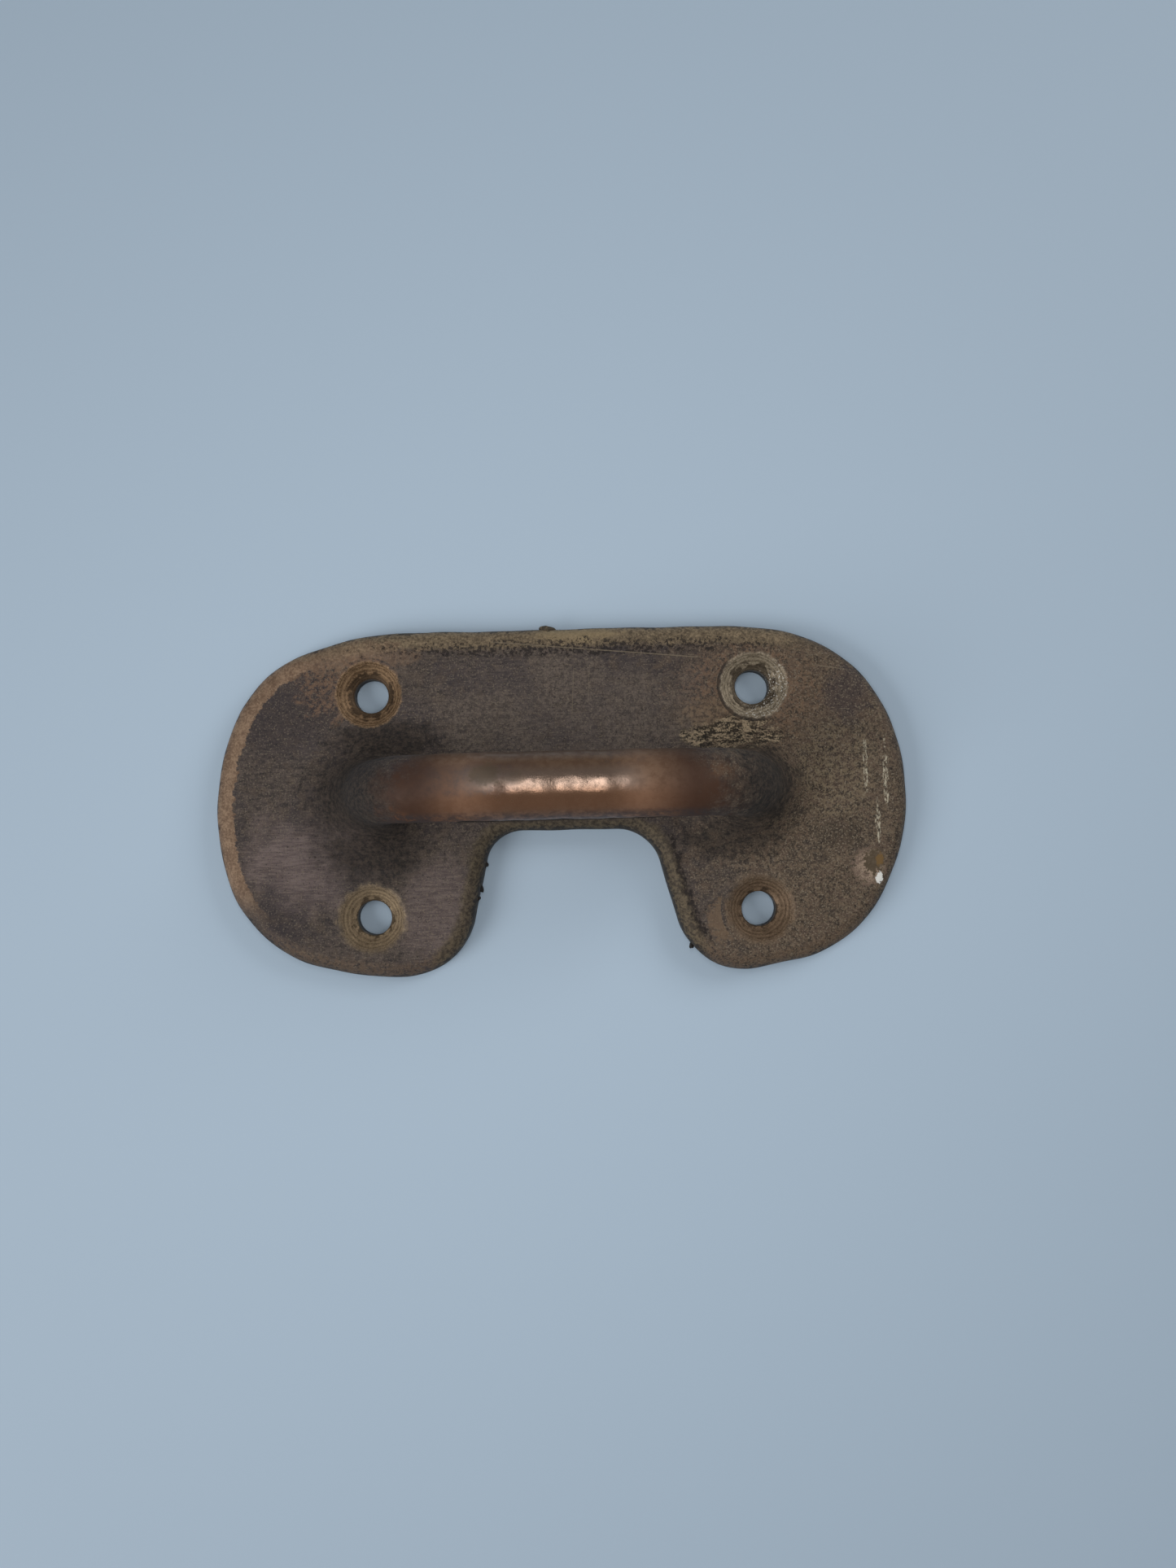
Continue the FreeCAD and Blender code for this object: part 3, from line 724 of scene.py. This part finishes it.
# rows run up the left root, along the bar and down the right root; each row starts on the
# outer side of a leg, which goes over into the upper side of the bar
grip_points = np.concatenate([
    root_points("left", ROOT_ROWS),
    bar_points(BEND_ROWS, GRIP_ROWS)[1:-1],
    root_points("right", ROOT_ROWS)[::-1],
])
grip_index = np.arange(grip_points.shape[0] * AROUND).reshape(-1, AROUND)
grip_index = np.concatenate([grip_index, grip_index[:, :1]], 1)

grip_finish, start = new_finish("handled_bronze")
place = Place(start)
skin, skin_roughness, skin_metal, skin_relief = cast_skin(place)
cloud, mottle = place.grain(0.25, 4.0), place.grain(0.8, 5.0, 0.65)
fine = place.grain(4.0, 2.0, 0.6)
rubbed = place.grain(3.5, 2.0, 0.6, (0.12, 1, 1))
from_middle, from_top = abs(place.x + 0.6), abs(place.y - 2.2)
bare = from_middle + place.y.rise(2.5, 6.5) * 5 + (mottle - 0.5) * 9 + (cloud - 0.5) * 8
bare = bare.rise(29.5, 21.5) * place.z.rise(15, 20)
tone = mottle.rise(0.38, 0.62).cover(colour(215, 128, 78), colour(165, 90, 52))
# greyish pink on the left of the bar's top: smudging, and painted sheen that stands in for the faint
# spread of the highlight there
left_smudge_and_sheen_tone = (mottle * 0.5 + cloud * 0.5).rise(0.4, 0.6).cover(
    colour(150, 92, 68), colour(112, 86, 78))
left_smudge_and_sheen = (place.x + (cloud - 0.5) * 30).rise(-4, -14) * from_top.rise(3.2, 1.6)
tone = (left_smudge_and_sheen * 0.75).cover(tone, left_smudge_and_sheen_tone)
tone = ((place.y + (mottle - 0.5) * 8).rise(3, -1.5) * 0.6).cover(tone, colour(226, 104, 54))
tone = (from_middle.rise(12, 21) * 0.9).cover(tone, colour(50, 21, 11))
orange = place.blotch(-8, -2.0, 15, 1.5, mottle, 0.7) * place.z.rise(28.5, 26.5)
tone = (orange * 0.75).cover(tone, colour(210, 84, 34))
spot = place.blotch(24.4, 3.6, 1.8, 1.8, mottle, 0.7)
tone = (spot * 0.6).cover(tone, colour(150, 66, 24))
# painted highlight tint: the crown of the bar is paler pinkish grey where the lamp's highlight falls
painted_highlight_crown = from_top.rise(2.6, 0.6) * from_middle.rise(15, 10)
tone = (painted_highlight_crown * 0.6).cover(tone, colour(200, 152, 124))
green = place.blotch(-10.5, 3.0, 2.2, 1.6, mottle, 0.8).either(
    place.blotch(-6.5, 2.4, 1.6, 1.0, mottle, 0.8) * 0.6)
tone = (green * 0.55).cover(tone, colour(52, 42, 24))
smudge = mottle.rise(0.52, 0.62) * place.blotch(9, 5.2, 7, 1.4, mottle, 0.8)
tone = (smudge * 0.4).cover(tone, colour(140, 116, 100))
dark_top = from_top.rise(2.6, 4.6) * place.y.rise(3, 5)
tone = (dark_top * 0.5).cover(tone, colour(70, 42, 24))
under = place.y.rise(-2.2, -3.2) * mottle.rise(0.3, 0.6)
tone = (under * 0.7).cover(tone, colour(42, 34, 34))
sides = from_top.rise(2.4, 4.4)
close_finish(
    start, bare.cover(skin, tone),
    (1 - bare) * (skin_roughness + 0.1) + bare * (
        0.24 + (mottle - 0.5) * 0.5 + green * 0.15 + from_middle.rise(8, 16) * 0.4 + sides * 0.2),
    (1 - bare) * skin_metal + bare * (0.6 - green * 0.2 - from_middle.rise(7, 14) * 0.5),
    (1 - bare) * skin_relief + bare * (mottle * 0.03 + fine * 0.006 + rubbed * 0.006))
add_piece("grip", grip_points.reshape(-1, 3), grid_faces(grip_index)[:, ::-1], grip_finish)

# --------------------------------------------------------------------------- small marks
# A stub of metal is left on the upper edge and a spur on the right one, where the mould leaked,
# and black crumbs of dirt cling to both walls of the notch. All are sunk into the plate's edge.
LUMP_STEPS = 13
# middle, half sizes and finish; the crumbs get the finish that follows
LUMPS = {
    "edge_stub": ((-2.0, 29.0, 3.2), (1.3, 0.65, 0.9), plate_finish),
    "edge_spur": ((56.4, -9.2, 1.6), (0.45, 0.9, 0.8), plate_finish),
    "crumb_1": ((-13.1, -10.6, 2.4), (0.4, 0.55, 0.5), None),
    "crumb_2": ((-13.9, -14.6, 2.0), (0.3, 0.7, 0.5), None),
    "crumb_3": ((-14.4, -16.2, 2.9), (0.35, 0.4, 0.4), None),
    "crumb_4": ((21.2, -25.0, 2.3), (0.35, 0.5, 0.5), None),
}
crumb_finish, start = new_finish("black_dirt")
place = Place(start)
soot_grain = place.grain(3.0, 3.0, 0.7)
close_finish(start, soot_grain.cover(colour(12, 11, 11), colour(40, 33, 28)),
             0.7 + soot_grain * 0.2, 0.0, soot_grain * 0.05)


def lump_points(centre, half_sizes, steps):
    """A rough pebble: an upper and a lower half, each a square of steps bent into a dome.

    The square becomes a disc by u * sqrt(1 - v * v / 2), the distance from its middle becomes
    the angle from the top, and the radius is changed by slow waves over both angles.
    """
    u, v = np.meshgrid(np.linspace(-1, 1, steps), np.linspace(-1, 1, steps), indexing="ij")
    across, along = u * np.sqrt(1 - v * v / 2), v * np.sqrt(1 - u * u / 2)
    up, turn = np.hypot(across, along) * math.pi / 2, np.arctan2(along, across)
    seed = centre[0] + centre[1]
    rough = 1 + np.sin(up) * (0.16 * np.sin(3 * turn + seed) + 0.12 * np.sin(2 * turn + 4 * up + seed))
    halves = [np.stack([rough * np.sin(up) * np.cos(turn), rough * np.sin(up) * np.sin(turn),
                        side * rough * np.cos(up)], -1) for side in (1, -1)]
    return np.array(halves) * np.array(half_sizes) + np.array(centre)


for name, (centre, half_sizes, finish) in LUMPS.items():
    lump = lump_points(centre, half_sizes, LUMP_STEPS)
    upper_half, lower_half = np.arange(2 * LUMP_STEPS ** 2).reshape(2, LUMP_STEPS, LUMP_STEPS)
    # both halves share the points of the upper one's border
    for border in ((0, slice(None)), (-1, slice(None)), (slice(None), 0), (slice(None), -1)):
        lower_half[border] = upper_half[border]
    faces = np.concatenate([grid_faces(upper_half)[:, ::-1], grid_faces(lower_half)])
    used, faces = np.unique(faces.ravel(), return_inverse=True)
    add_piece(name, lump.reshape(-1, 3)[used], faces.reshape(-1, 4), finish or crumb_finish)

# ------------------------------------------------------------------- floor, light, camera
# A plain pale floor, a narrow lamp above beside the camera, two wide soft ones further out and
# an evenly lit room.
floor_mesh = bpy.data.meshes.new("floor")
floor_mesh.from_pydata([(-2, -2, 0), (2, -2, 0), (2, 2, 0), (-2, 2, 0)], [], [(0, 1, 2, 3)])
floor = bpy.data.objects.new("floor", floor_mesh)
bpy.context.scene.collection.objects.link(floor)
floor_finish, start = new_finish("pale_floor")
shader = start.node(
    "ShaderNodeBsdfPrincipled", {}, {"Base Color": colour(500, 620, 740), "Roughness": 0.7})
start.node("ShaderNodeOutputMaterial", {}, {"Surface": shader})
floor_mesh.materials.append(floor_finish)


def soft_lamp(name, place_mm, aim_mm, wide_mm, high_mm, watts):
    """An oval lamp, so wide along X and so high along Y, at a place and aimed at a point."""
    light = bpy.data.lights.new(name, "AREA")
    light.shape, light.energy = "ELLIPSE", watts
    light.size, light.size_y = wide_mm / 1000, high_mm / 1000
    lamp = bpy.data.objects.new(name, light)
    bpy.context.scene.collection.objects.link(lamp)
    lamp.location = Vector(place_mm) / 1000
    lamp.rotation_euler = (Vector(aim_mm) - Vector(place_mm)).to_track_quat("-Z", "Y").to_euler()


soft_lamp("lamp_by_camera", (-1, -2, 205), (-1, -2, 0), 26, 140, 0.09)
soft_lamp("wide_left", (-500, -250, 420), (0, 0, 10), 400, 400, 1.85)
soft_lamp("wide_right", (500, 350, 420), (0, 0, 10), 400, 400, 1.35)
room = bpy.data.worlds.new("room")
bpy.context.scene.world = room
room.use_nodes = True
room.node_tree.nodes["Background"].inputs["Color"].default_value = (0.9, 0.95, 1.0, 1)
room.node_tree.nodes["Background"].inputs["Strength"].default_value = 0.22
bpy.context.scene.view_settings.view_transform = "Standard"

# The camera hangs some 20 cm above, tipped by 3 degrees and turned by 1.4.
TILT, TURNED = math.radians(3.0), math.radians(-1.4)
lens = bpy.data.cameras.new("camera")
lens.sensor_width, lens.lens, lens.clip_start = 36, 27.03, 0.01
camera = bpy.data.objects.new("camera", lens)
bpy.context.scene.collection.objects.link(camera)
camera.location = (0.00423, -0.00779, 0.2015)
camera.rotation_euler = (TILT, 0, TURNED)
bpy.context.scene.camera = camera
